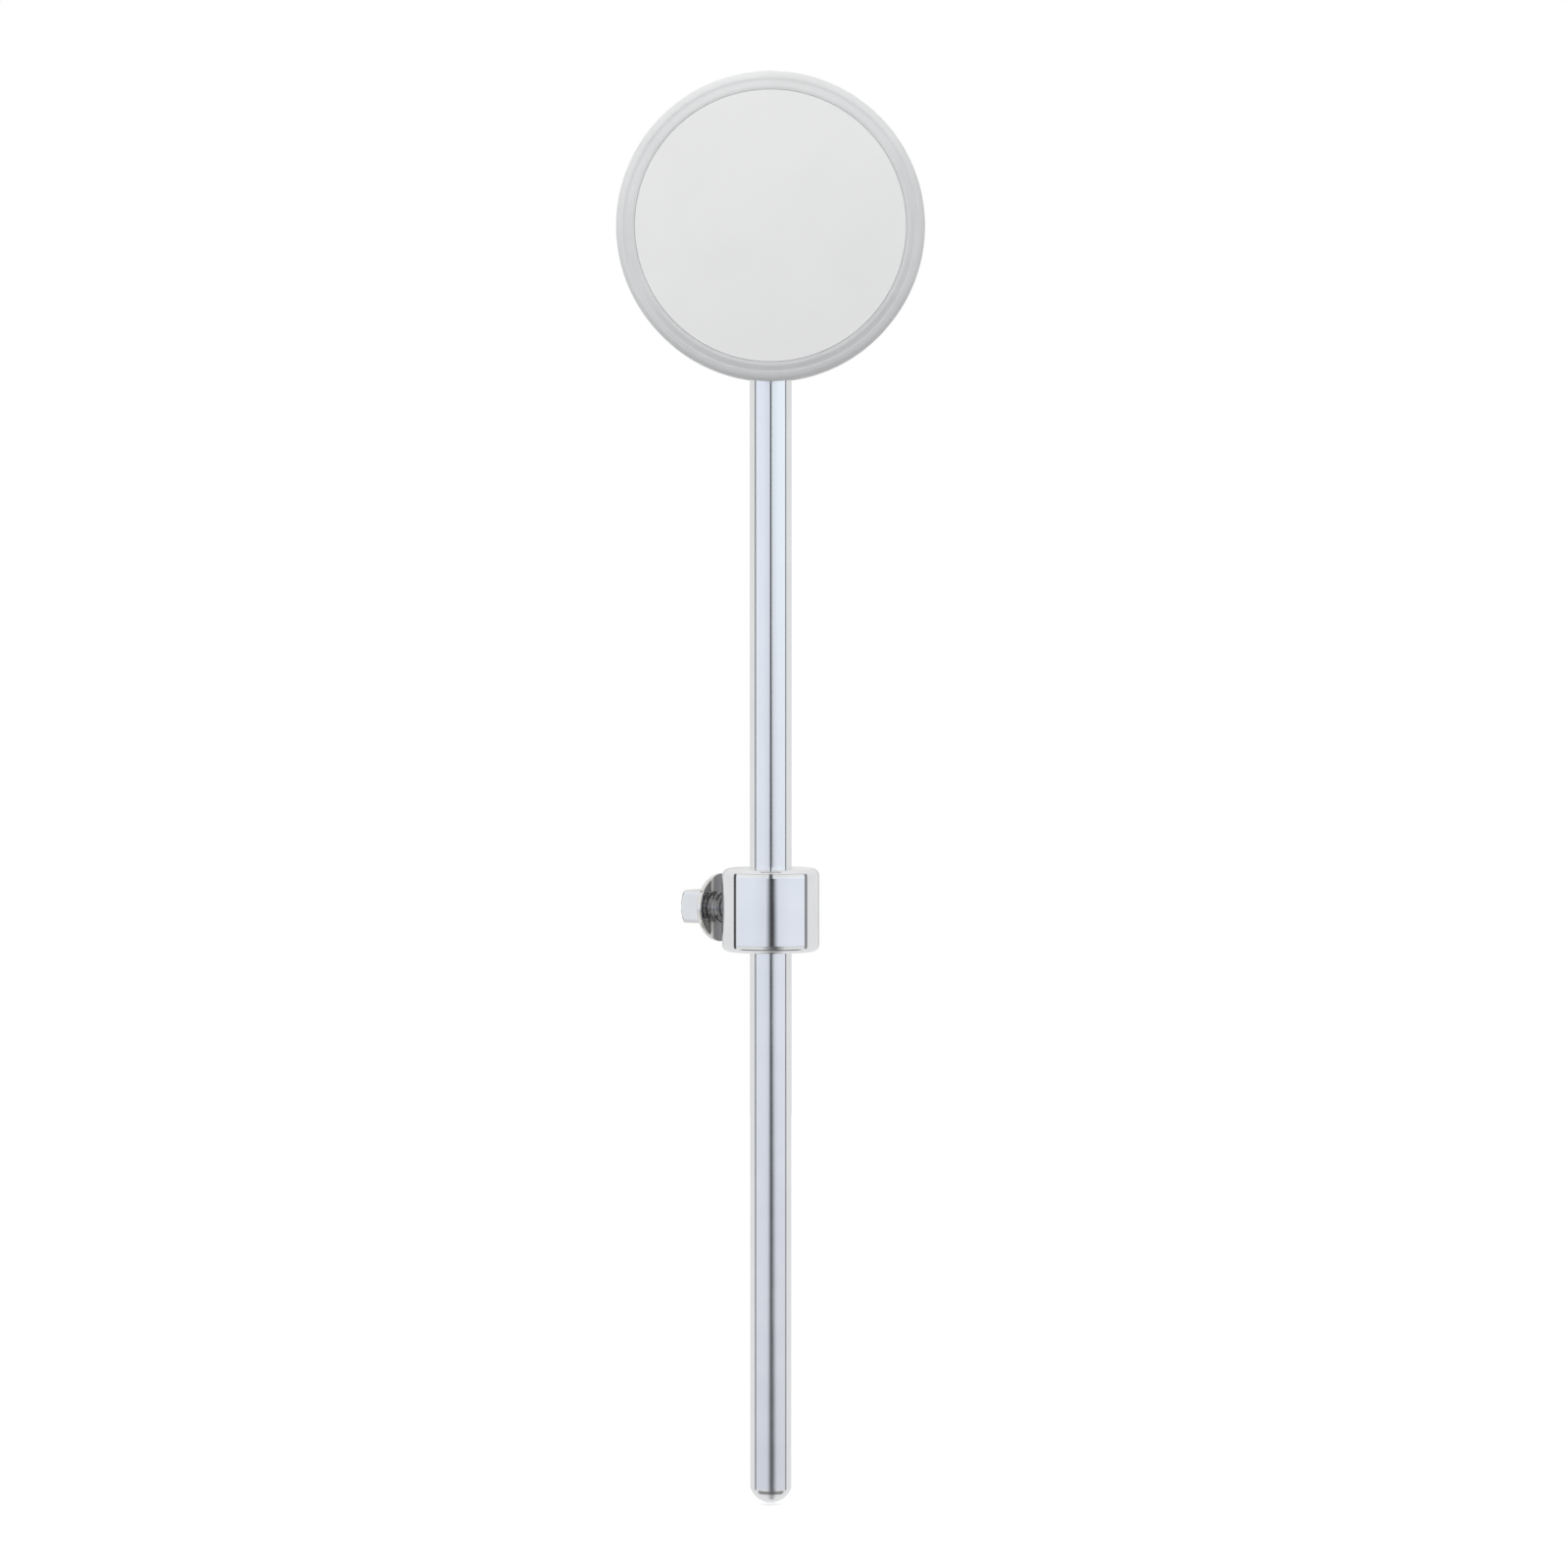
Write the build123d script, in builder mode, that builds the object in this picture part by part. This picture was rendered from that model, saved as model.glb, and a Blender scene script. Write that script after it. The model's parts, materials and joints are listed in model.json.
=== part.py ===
"""Bass-drum pedal beater: a chromed rod with a two-sided head and a sliding stop collar.

Millimetres. The rod stands along +Z with its domed end at the origin and the head on top. The white
striking face looks towards -Y, and the felt face towards +Y.
"""

import os
from math import asin, cos, degrees, radians, sin

from build123d import *

# ---------------------------------------------------------------- driving dimensions

# Whole beater
overall_length = 275.7      # domed end of the rod to the top of the head
head_d = 59.0               # head, over the elastic ring
head_width = 30.0           # head along Y, over the ring's two lips

# Rod
shaft_d = 8.0
dome_height = 2.9           # low spherical end
thread_d = 6.0              # thread on the rod's upper end
thread_lead = 0.6           # chamfer on each thread's end
thread_past_nut = 1.2

# Elastic edge ring
ring_wall = 2.45            # around the core
rim_band = 3.65             # width of ring that shows round each face
lip_thickness = 1.45
lip_stand = 0.5             # the lip's bevel drops this far to the rounded edge
edge_round = 2.1            # outer edge of the ring
ring_hole_gap = 0.2         # round the rod, where it goes through the ring

# Faces
plate_flange = 2.0          # rim of each face plate, trapped behind a lip
disc_edge_round = 0.35
disc_crown = 0.6            # the striking face is gently domed
pad_step = 1.0              # raised seat that the felt is bonded to
felt_thickness = 7.5
felt_edge_round = 1.8
felt_gap = 0.2              # felt to lip, radially

# Core
core_rim = 2.5
web = 2.5
hub_room = 5.0              # spanner room round the washer, inside the hub wall
hub_wall = 2.0
rib_thickness = 2.2
rib_spacing = 45.0          # degrees; the boss takes the place of the lowest rib
boss_wall = 3.5
boss_below_centre = 2.0     # nut seat, below the head's centre
clamped_wall = 4.0          # core wall between the rod's shoulder and the washer

# Lock nut and washer
washer_d = 12.0
washer_thickness = 1.6
nut_flats = 10.0
nut_hex_height = 4.3
nut_collar_wall = 0.8
insert_wall = 0.9
insert_height = 1.3
nut_lip = 0.4

# Stop collar
collar_d = 18.8
collar_height = 16.1
collar_centre_z = 114.9
collar_round = 1.5
collar_bore_chamfer = 0.4

# Key screw
screw_turn = 42.0           # degrees from -X round towards +Y
screw_thread_d = 6.0
screw_stand = 3.1           # collar wall to the underside of the screw's flange
flange_d = 13.2
flange_thickness = 1.0
flange_round = 0.3
square_flats = 6.4          # standard drum-key square
square_length = 7.1
square_end_bevel = 0.9
square_end_d = 6.6          # round land left at the end of the square

# Clearances
running_gap = 0.05          # radial, rod in collar and thread in tapped hole
seat_gap = 0.05             # parts that are seated in the head
face_gap = 0.1              # face plates inside the ring's lips
screw_tip_gap = 0.1         # screw's end to the rod, backed off by a hair

# ---------------------------------------------------------------- worked-out places

shaft_r = shaft_d / 2
head_r = head_d / 2
head_z = overall_length - head_r
face_r = head_r - rim_band
core_r = head_r - ring_wall
half_width = head_width / 2
lip_inner_face = half_width - lip_thickness
core_half = lip_inner_face - plate_flange - seat_gap
plate_r = core_r - seat_gap
boss_top = head_z - boss_below_centre
shoulder_z = boss_top - clamped_wall
nut_height = nut_hex_height + insert_height + nut_lip
nut_z = boss_top + washer_thickness
thread_top = nut_z + nut_height + thread_past_nut
thread_hole_r = thread_d / 2 + running_gap
insert_r = thread_d / 2 + insert_wall
hub_r = washer_d / 2 + hub_room
bore_r = shaft_r + running_gap

screw_dir = Vector(-cos(radians(screw_turn)), sin(radians(screw_turn)), 0)
screw_side = screw_dir.rotate(Axis.Z, 90)
screw_origin = Vector(0, 0, collar_centre_z)
flange_under = collar_d / 2 + screw_stand
flange_top = flange_under + flange_thickness

# A head profile is drawn as (radius, y) on this plane and turned about the head's own axis.
head_plane = Plane.XY.offset(head_z)
head_axis = Axis((0, 0, head_z), (0, 1, 0))

# A screw profile is drawn as (radius, distance from the rod's axis) and turned about the screw's axis.
screw_profile = Plane(screw_origin, x_dir=(0, 0, 1), z_dir=Vector(0, 0, 1).cross(screw_dir))
screw_axis = Axis(screw_origin, screw_dir)

os.makedirs("parts", exist_ok=True)

# ---------------------------------------------------------------- rod

dome_r = (shaft_r**2 + dome_height**2) / (2 * dome_height)
dome_sweep = degrees(asin(shaft_r / dome_r))

with BuildPart() as beater_shaft:
    with BuildSketch(Plane.XZ):
        with BuildLine():
            CenterArc((0, dome_r), dome_r, -90, dome_sweep)
            Polyline(
                (shaft_r, dome_height),
                (shaft_r, shoulder_z),
                (thread_d / 2, shoulder_z),
                (thread_d / 2, thread_top - thread_lead),
                (thread_d / 2 - thread_lead, thread_top),
                (0, thread_top),
                (0, 0),
            )
        make_face()
    revolve(axis=Axis.Z)
beater_shaft.part.label = "beater_shaft"
export_step(beater_shaft.part, "parts/beater_shaft.step")

# ---------------------------------------------------------------- head core

boss_width = shaft_d + 2 * boss_wall

with BuildPart() as head_core:
    # rim
    with BuildSketch(head_plane):
        with Locations((core_r - core_rim / 2, 0)):
            Rectangle(core_rim, 2 * core_half)
    revolve(axis=head_axis)
    # rear web
    with BuildSketch(head_plane):
        with Locations((core_r / 2, core_half - web / 2)):
            Rectangle(core_r, web)
    revolve(axis=head_axis)
    # hub wall round the nut
    with BuildSketch(head_plane):
        with Locations((hub_r + hub_wall / 2, 0)):
            Rectangle(hub_wall, 2 * core_half)
    revolve(axis=head_axis)
    # ribs behind the striking face, from the hub wall to the rim
    rib_length = core_r - core_rim / 2 - hub_r - hub_wall / 2
    rib_middle = (core_r - core_rim / 2 + hub_r + hub_wall / 2) / 2
    with BuildSketch(Plane(origin=(0, -core_half, head_z), x_dir=(1, 0, 0), z_dir=(0, 1, 0))):
        # on this plane +y is downwards, so the lowest place is at 90 degrees
        for place in range(round(360 / rib_spacing)):
            turn = 90 + place * rib_spacing
            if place > 0:
                with PolarLocations(rib_middle, 1, start_angle=turn):
                    Rectangle(rib_length, rib_thickness)
    extrude(amount=2 * core_half - web / 2)
    # boss that the rod is fixed in, from the rim up to the nut's seat and backed by the web
    with BuildSketch(Plane.XY.offset(boss_top)):
        with Locations((0, (core_half - web - boss_width / 2) / 2)):
            Rectangle(boss_width, core_half - web + boss_width / 2)
        fillet(vertices().group_by(Axis.Y)[0], boss_wall)
    extrude(amount=-(boss_top - head_z + core_r))
    # trim the boss's foot to the core's round outside
    with BuildSketch(head_plane):
        with Locations((core_r + boss_wall / 2, 0)):
            Rectangle(boss_wall, 2 * core_half)
    revolve(axis=head_axis, mode=Mode.SUBTRACT)
    # the rod's bore with its shoulder, and the hole for its thread
    with Locations(Plane.XY.offset(head_z - core_r - core_rim)):
        Cylinder(
            shaft_r + seat_gap,
            shoulder_z - head_z + core_r + core_rim,
            align=(Align.CENTER, Align.CENTER, Align.MIN),
            mode=Mode.SUBTRACT,
        )
    with Locations(Plane.XY.offset(shoulder_z - clamped_wall)):
        Cylinder(
            thread_hole_r + seat_gap,
            3 * clamped_wall,
            align=(Align.CENTER, Align.CENTER, Align.MIN),
            mode=Mode.SUBTRACT,
        )
head_core.part.label = "head_core"
export_step(head_core.part, "parts/head_core.step")

# ---------------------------------------------------------------- elastic edge ring

lip_r = face_r + face_gap
round_start_r = head_r - edge_round
shoulder_y = half_width - lip_stand

with BuildPart() as edge_ring:
    # the rear half of the section, drawn once and mirrored to the front
    with BuildSketch(head_plane) as ring_section:
        with BuildLine():
            Polyline(
                (core_r + seat_gap, 0),
                (core_r + seat_gap, lip_inner_face),
                (lip_r, lip_inner_face),
                (lip_r, half_width),
                (round_start_r - lip_stand, half_width),
                (round_start_r, shoulder_y),
            )
            RadiusArc((round_start_r, shoulder_y), (head_r, shoulder_y - edge_round), edge_round)
            Polyline((head_r, shoulder_y - edge_round), (head_r, 0), (core_r + seat_gap, 0))
        make_face()
        mirror(about=Plane.XZ)
    revolve(axis=head_axis)
    with Locations(Plane.XY.offset(head_z - head_r - ring_wall)):
        Cylinder(
            shaft_r + ring_hole_gap,
            3 * ring_wall,
            align=(Align.CENTER, Align.CENTER, Align.MIN),
            mode=Mode.SUBTRACT,
        )
edge_ring.part.label = "edge_ring"
export_step(edge_ring.part, "parts/edge_ring.step")

# ---------------------------------------------------------------- striking disc

crown_edge_r = face_r - disc_edge_round
crown_r = (crown_edge_r**2 + disc_crown**2) / (2 * disc_crown)

with BuildPart() as strike_disc:
    with BuildSketch(head_plane):
        with BuildLine():
            Polyline(
                (0, -core_half),
                (plate_r, -core_half),
                (plate_r, -core_half - plate_flange),
                (face_r, -core_half - plate_flange),
                (face_r, -half_width + disc_edge_round),
                (crown_edge_r, -half_width),
            )
            RadiusArc((crown_edge_r, -half_width), (0, -half_width - disc_crown), crown_r)
            Line((0, -half_width - disc_crown), (0, -core_half))
        make_face()
    revolve(axis=head_axis)
strike_disc.part.label = "strike_disc"
export_step(strike_disc.part, "parts/strike_disc.step")

# ---------------------------------------------------------------- rear plate and felt pad

pad_seat = core_half + plate_flange + pad_step
felt_r = face_r - felt_gap

with BuildPart() as pad_plate:
    with BuildSketch(head_plane):
        with BuildLine():
            Polyline(
                (0, core_half),
                (plate_r, core_half),
                (plate_r, core_half + plate_flange),
                (face_r, core_half + plate_flange),
                (face_r, pad_seat),
                (0, pad_seat),
                close=True,
            )
        make_face()
    revolve(axis=head_axis)
pad_plate.part.label = "pad_plate"
export_step(pad_plate.part, "parts/pad_plate.step")

with BuildPart() as felt_pad:
    with BuildSketch(head_plane):
        with Locations((felt_r / 2, pad_seat + felt_thickness / 2)):
            Rectangle(felt_r, felt_thickness)
    revolve(axis=head_axis)
    fillet(felt_pad.edges().filter_by(GeomType.CIRCLE).sort_by(Axis.Y)[-1], felt_edge_round)
felt_pad.part.label = "felt_pad"
export_step(felt_pad.part, "parts/felt_pad.step")

# ---------------------------------------------------------------- washer and lock nut

with BuildPart() as flat_washer:
    with BuildSketch(Plane.XY.offset(boss_top)):
        Circle(washer_d / 2)
        Circle(thread_hole_r + seat_gap, mode=Mode.SUBTRACT)
    extrude(amount=washer_thickness)
flat_washer.part.label = "flat_washer"
export_step(flat_washer.part, "parts/flat_washer.step")

nut_collar_r = insert_r + seat_gap + nut_collar_wall
insert_z = nut_z + nut_hex_height

with BuildPart() as lock_nut:
    # hexagon with turned corners
    with BuildSketch(Plane.XY.offset(nut_z)):
        RegularPolygon(nut_flats / 2, 6, major_radius=False)
    extrude(amount=nut_hex_height)
    with BuildSketch(Plane.XZ):
        with BuildLine():
            corner = nut_flats / 2 / cos(radians(30))
            bevel = corner - nut_flats / 2
            Polyline(
                (0, nut_z),
                (nut_flats / 2, nut_z),
                (corner, nut_z + bevel),
                (corner, insert_z - bevel),
                (nut_flats / 2, insert_z),
                (0, insert_z),
                close=True,
            )
        make_face()
    revolve(axis=Axis.Z, mode=Mode.INTERSECT)
    # round collar that holds the nylon ring
    with BuildSketch(Plane.XY.offset(insert_z)):
        Circle(nut_collar_r)
    extrude(amount=insert_height + nut_lip)
    with BuildSketch(Plane.XY.offset(insert_z)):
        Circle(insert_r + seat_gap)
    extrude(amount=insert_height, mode=Mode.SUBTRACT)
    with BuildSketch(Plane.XY.offset(nut_z)):
        Circle(thread_hole_r)
    extrude(amount=nut_height, mode=Mode.SUBTRACT)
lock_nut.part.label = "lock_nut"
export_step(lock_nut.part, "parts/lock_nut.step")

with BuildPart() as nut_insert:
    with BuildSketch(Plane.XY.offset(insert_z)):
        Circle(insert_r)
        Circle(thread_d / 2, mode=Mode.SUBTRACT)
    extrude(amount=insert_height)
nut_insert.part.label = "nut_insert"
export_step(nut_insert.part, "parts/nut_insert.step")

# ---------------------------------------------------------------- stop collar

with BuildPart() as stop_collar:
    with BuildSketch(Plane.XY.offset(collar_centre_z - collar_height / 2)):
        Circle(collar_d / 2)
    extrude(amount=collar_height)
    fillet(stop_collar.edges().filter_by(GeomType.CIRCLE), collar_round)
    with BuildSketch(Plane.XY.offset(collar_centre_z - collar_height / 2)):
        Circle(bore_r)
    extrude(amount=collar_height, mode=Mode.SUBTRACT)
    bore_edges = stop_collar.edges().filter_by(GeomType.CIRCLE).filter_by(
        lambda edge: abs(edge.radius - bore_r) < running_gap / 2
    )
    chamfer(bore_edges, collar_bore_chamfer)
    # tapped hole for the key screw, through one wall
    with BuildSketch(Plane(screw_origin, x_dir=screw_side, z_dir=screw_dir)):
        Circle(screw_thread_d / 2 + running_gap)
    extrude(amount=collar_d, mode=Mode.SUBTRACT)
stop_collar.part.label = "stop_collar"
export_step(stop_collar.part, "parts/stop_collar.step")

# ---------------------------------------------------------------- key screw

screw_r = screw_thread_d / 2
screw_tip = shaft_r + screw_tip_gap
square_end = flange_top + square_length
square_corner = square_flats / 2 / cos(radians(45))

with BuildPart() as key_screw:
    # the square drive, with its corners turned to a bevel at the end
    square_plane = Plane(screw_origin + screw_dir * flange_top, x_dir=screw_side, z_dir=screw_dir)
    with BuildSketch(square_plane):
        Rectangle(square_flats, square_flats)
    extrude(amount=square_length)
    with BuildSketch(screw_profile):
        with BuildLine():
            Polyline(
                (0, flange_top),
                (square_corner, flange_top),
                (square_corner, square_end - square_end_bevel),
                (square_end_d / 2, square_end),
                (0, square_end),
                close=True,
            )
        make_face()
    revolve(axis=screw_axis, mode=Mode.INTERSECT)
    # flange and shank
    with BuildSketch(screw_profile):
        with BuildLine():
            Polyline(
                (0, screw_tip),
                (screw_r - thread_lead, screw_tip),
                (screw_r, screw_tip + thread_lead),
                (screw_r, flange_under),
                (flange_d / 2, flange_under),
                (flange_d / 2, flange_top),
                (0, flange_top),
                close=True,
            )
        make_face()
    revolve(axis=screw_axis)
    flange_edges = key_screw.edges().filter_by(GeomType.CIRCLE).filter_by(
        lambda edge: abs(edge.radius - flange_d / 2) < flange_round / 2
    )
    fillet(flange_edges, flange_round)
key_screw.part.label = "key_screw"
export_step(key_screw.part, "parts/key_screw.step")
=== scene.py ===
# %% [markdown]
# # A bass-drum beater, dressed around its frame
#
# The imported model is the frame: every size and place below comes from it, in metres. The rod
# stands along +Z on its domed end, and the white striking face looks towards -Y. This lesson
# turns the metal on a lathe, cuts real threads, moulds the rubber edge ring, and presses and
# combs the felt. Loading the frame first means that nothing has to be fitted later: a piece is
# drawn where it lives.

# %% Load the frame
import cmath
import json
import math
from functools import partial

import bmesh
import bpy
from mathutils import Euler, Matrix, Vector


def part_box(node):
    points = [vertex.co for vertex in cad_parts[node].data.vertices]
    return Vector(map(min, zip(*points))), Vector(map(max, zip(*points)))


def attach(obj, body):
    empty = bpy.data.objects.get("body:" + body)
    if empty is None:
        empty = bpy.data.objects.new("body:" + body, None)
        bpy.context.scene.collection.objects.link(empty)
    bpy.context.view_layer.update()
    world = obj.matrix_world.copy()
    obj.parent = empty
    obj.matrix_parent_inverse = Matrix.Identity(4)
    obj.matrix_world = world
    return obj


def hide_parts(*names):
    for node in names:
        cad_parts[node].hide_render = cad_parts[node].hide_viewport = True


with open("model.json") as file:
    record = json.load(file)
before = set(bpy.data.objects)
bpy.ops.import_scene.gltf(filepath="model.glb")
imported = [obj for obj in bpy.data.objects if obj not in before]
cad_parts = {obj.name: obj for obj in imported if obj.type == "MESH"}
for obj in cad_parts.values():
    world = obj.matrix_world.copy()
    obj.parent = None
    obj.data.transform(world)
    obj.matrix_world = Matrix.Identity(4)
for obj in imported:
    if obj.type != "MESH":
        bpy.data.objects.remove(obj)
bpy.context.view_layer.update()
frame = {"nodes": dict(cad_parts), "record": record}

MM = 0.001

# %% [markdown]
# ## Sizes read from the frame
#
# A copy of a size goes wrong as soon as the frame changes, so the outside sizes are measured on
# the frame's own nodes. Only the small ones that a box can't tell, such as the width of a bevel,
# are written here as numbers, in millimetres.

# %% Measure the nodes
rod_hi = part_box("beater_shaft")[1]
ring_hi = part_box("edge_ring")[1]
disc_lo, disc_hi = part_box("strike_disc")
felt_lo, felt_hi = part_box("felt_pad")
collar_lo, collar_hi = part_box("stop_collar")
screw_mount = next(m for m in frame["record"]["mounts"] if m["name"] == "key_square")

rod_r = round(rod_hi.x / MM, 2)
thread_end = round(rod_hi.z / MM, 2)
head_r = round(ring_hi.x / MM, 2)
head_z = round(ring_hi.z / MM, 2) - head_r
half_width = round(ring_hi.y / MM, 2)
collar_r = round(collar_hi.x / MM, 2)
collar_z = (collar_lo.z + collar_hi.z) / 2 / MM
collar_half = round((collar_hi.z - collar_lo.z) / 2 / MM, 3)
disc_back, disc_front = round(disc_hi.y / MM, 2), round(disc_lo.y / MM, 2)
disc_r = round(disc_hi.x / MM, 2)
felt_back, felt_top = round(felt_lo.y / MM, 2), round(felt_hi.y / MM, 2)
felt_r = round(felt_hi.x / MM, 2)
square_end = math.hypot(*screw_mount["pos_m"][:2]) / MM
print("rod radius", rod_r, "head radius", head_r, "head height", round(head_z, 2))
print("collar radius", collar_r, "half height", collar_half, "square's end", round(square_end, 2))

# %% [markdown]
# ## Drawing a profile
#
# A turned part is one outline spun about an axis. The outline is a list of corners (radius,
# height, round), and each corner is replaced by a small arc, because no real edge is perfectly
# sharp. Two extra points, HOLD mm outside each arc, keep the flats flat: smooth shading would
# otherwise bend the reflections along the whole length of the rod.

# %% Round the corners of an outline
ARC_STEP = math.radians(7)
HOLD = 0.06


def rounded(corners, closed=False):
    """Points through (radius, height, round) corners in mm, each corner turned to its round."""
    points = []
    for k, (x, y, round_mm) in enumerate(corners):
        here = complex(x, y)
        if round_mm == 0 or (not closed and k in (0, len(corners) - 1)):
            points.append(here)
            continue
        before = complex(*corners[k - 1][:2]) - here
        after = complex(*corners[(k + 1) % len(corners)][:2]) - here
        before, after = before / abs(before), after / abs(after)
        half = abs(cmath.phase(after / before)) / 2
        centre = here + (before + after) / abs(before + after) * round_mm / math.sin(half)
        first = here + before * round_mm / math.tan(half) - centre
        last = here + after * round_mm / math.tan(half) - centre
        turn = cmath.phase(last / first)
        steps = max(2, math.ceil(abs(turn) / ARC_STEP))
        points.append(centre + first + before * HOLD)
        points += [centre + first * cmath.exp(1j * turn * i / steps) for i in range(steps + 1)]
        points.append(centre + last + after * HOLD)
    return [(p.real, p.imag) for p in points]


print("one round corner takes", len(rounded([(0, 0, 0), (5, 0, 1), (5, 5, 0)])) - 2, "points")

# %% [markdown]
# ## Small tools for node trees
#
# Geometry Nodes and materials are both trees of nodes. Two helpers keep the trees readable: one
# places a node with its settings and links, and one does sums.

# %% Helpers for node trees
def put(tree, kind, inputs=None, **settings):
    """Adds a node, sets it up, and links or fills its inputs."""
    node = tree.nodes.new(kind)
    for key, value in settings.items():
        setattr(node, key, value)
    for key, value in (inputs or {}).items():
        if isinstance(value, bpy.types.NodeSocket):
            tree.links.new(value, node.inputs[key])
        else:
            node.inputs[key].default_value = value
    return node


def sums(tree, operation, *values, clamp=False):
    """The result of one Math node."""
    filled = dict(enumerate(values))
    return put(tree, "ShaderNodeMath", filled, operation=operation, use_clamp=clamp).outputs[0]


# %% [markdown]
# ## Trees as machines
#
# A named input on a tree is like a dial on a machine, so that the same lathe can turn any part. A
# tree runs on an object as a modifier, and its result is then kept as a plain mesh.

# %% Helpers for building and running a tree
def new_tree(name, dials):
    """A tree with geometry in and out, and one input for each (name, kind) of dials."""
    tree = bpy.data.node_groups.new(name, "GeometryNodeTree")
    face = tree.interface
    face.new_socket("Geometry", in_out="INPUT", socket_type="NodeSocketGeometry")
    for label, kind in dials:
        face.new_socket(label, in_out="INPUT", socket_type="NodeSocket" + kind)
    face.new_socket("Geometry", in_out="OUTPUT", socket_type="NodeSocketGeometry")
    return tree, tree.nodes.new("NodeGroupInput").outputs


def close_tree(tree, geometry, finish):
    """Ends a tree in Realize Instances and Set Material."""
    real = put(tree, "GeometryNodeRealizeInstances", {"Geometry": geometry}).outputs[0]
    painted = put(tree, "GeometryNodeSetMaterial", {"Geometry": real, "Material": finish})
    tree.links.new(painted.outputs[0], tree.nodes.new("NodeGroupOutput").inputs[0])


def push_out(tree, geometry, amount):
    """Moves each point along its normal by an amount in metres."""
    out = put(tree, "GeometryNodeInputNormal").outputs[0]
    step_out = put(tree, "ShaderNodeVectorMath", {0: out, "Scale": amount}, operation="SCALE")
    filled = {"Geometry": geometry, "Offset": step_out.outputs[0]}
    return put(tree, "GeometryNodeSetPosition", filled).outputs[0]


def run_tree(holder, tree, **dials):
    """Puts a tree on an object as a modifier, with its inputs set by identifier."""
    modifier = holder.modifiers.new(tree.name, "NODES")
    modifier.node_group = tree
    for item in tree.interface.items_tree:
        if item.in_out == "INPUT" and item.name in dials:
            modifier[item.identifier] = dials[item.name]


def keep_mesh(name, holder):
    """The evaluated shape of holder as a plain mesh object called name. The holder is removed."""
    graph = bpy.context.evaluated_depsgraph_get()
    mesh = bpy.data.meshes.new_from_object(holder.evaluated_get(graph), depsgraph=graph)
    mesh.name = name
    holder.modifiers.clear()
    bpy.data.objects.remove(holder)
    piece = bpy.data.objects.new(name, mesh)
    bpy.context.scene.collection.objects.link(piece)
    return piece


# %% [markdown]
# ## The lathe
#
# Curve to Mesh carries the outline round a small circle, which is what a lathe does. The circle
# is a guide 1 mm in radius, and the outline is drawn that much nearer the axis, so that its
# points land at their true radii. Points on the axis meet there and are merged, which closes the
# ends.

# %% Build the lathe tree
GUIDE = 1.0
SAME_POINT = 0.000002
lathe, dial = new_tree("lathe", [("Segments", "Int"), ("Finish", "Material")])
guide = put(
    lathe, "GeometryNodeCurvePrimitiveCircle",
    {"Resolution": dial["Segments"], "Radius": GUIDE * MM},
)
spun = put(
    lathe, "GeometryNodeCurveToMesh",
    {"Curve": guide.outputs[0], "Profile Curve": dial["Geometry"]},
)
joined = put(
    lathe, "GeometryNodeMergeByDistance", {"Geometry": spun.outputs[0], "Distance": SAME_POINT}
)
smooth = put(lathe, "GeometryNodeSetShadeSmooth", {"Geometry": joined.outputs[0]})
close_tree(lathe, smooth.outputs[0], dial["Finish"])
print("lathe tree nodes", len(lathe.nodes))

# %% [markdown]
# ## Outlines and places
#
# The lathe turns everything about Z. A finished part is then laid where it belongs: the head's
# parts lie along Y at the head's height, and the screw points out of the collar.

# %% Helpers for outlines and places
def placed(height, turn):
    """The place of a turned part: a height on the rod in mm, and a turn in radians."""
    return Matrix.Translation((0, 0, height * MM)) @ Euler(turn).to_matrix().to_4x4()


QUARTER = math.radians(90)
screw_dir = screw_mount["axis"]
ON_HEAD = placed(head_z, (-QUARTER, 0, 0))
ON_SCREW = placed(collar_z, (0, QUARTER, math.atan2(screw_dir[1], screw_dir[0])))


def outline(name, points, closed=False):
    """A flat curve for the lathe through (radius, height) points in mm."""
    curve = bpy.data.curves.new(name, "CURVE")
    curve.dimensions = "3D"
    line = curve.splines.new("POLY")
    line.points.add(len(points) - 1)
    for point, (r, z) in zip(line.points, points):
        point.co = ((r - GUIDE) * MM, -z * MM, 0, 1)
    line.use_cyclic_u = closed
    holder = bpy.data.objects.new(name, curve)
    bpy.context.scene.collection.objects.link(holder)
    return holder


def bar(name, radius, low, high):
    """The outline of a plain round bar between two heights, to use as a drill."""
    return outline(name, [(0, low), (radius, low), (radius, high), (0, high)])


def cap_radius(reach, height):
    """The radius of the sphere whose cap is this wide, from its middle, and this high."""
    return (reach**2 + height**2) / (2 * height)


print("head at", [round(v / MM, 2) for v in ON_HEAD.translation], "mm")

# %% [markdown]
# ## Finishing a mesh
#
# A piece that leaves a tree has a few doubled points to merge. Edges sharper than CRISP degrees are
# marked, so that they shade as edges, and a closed piece has no open edges left. A hole is cut with
# a Boolean, using a plain bar as the drill.

# %% Helpers for finished pieces
CRISP = 32


def tidy_mesh(piece, place=None, sharp=CRISP):
    """Merges doubles, turns faces outwards, places the mesh and keeps its true edges crisp."""
    mesh = bmesh.new()
    mesh.from_mesh(piece.data)
    bmesh.ops.remove_doubles(mesh, verts=mesh.verts, dist=SAME_POINT * 0.75)
    bmesh.ops.recalc_face_normals(mesh, faces=mesh.faces)
    loose = sum(1 for edge in mesh.edges if len(edge.link_faces) != 2)
    mesh.to_mesh(piece.data)
    mesh.free()
    if place is not None:
        piece.data.transform(place)
    piece.data.set_sharp_from_angle(angle=math.radians(sharp))
    size = [round(v / MM, 2) for v in piece.dimensions]
    print(piece.name, "faces", len(piece.data.polygons), "open edges", loose, "size, mm", size)
    return piece


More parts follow.
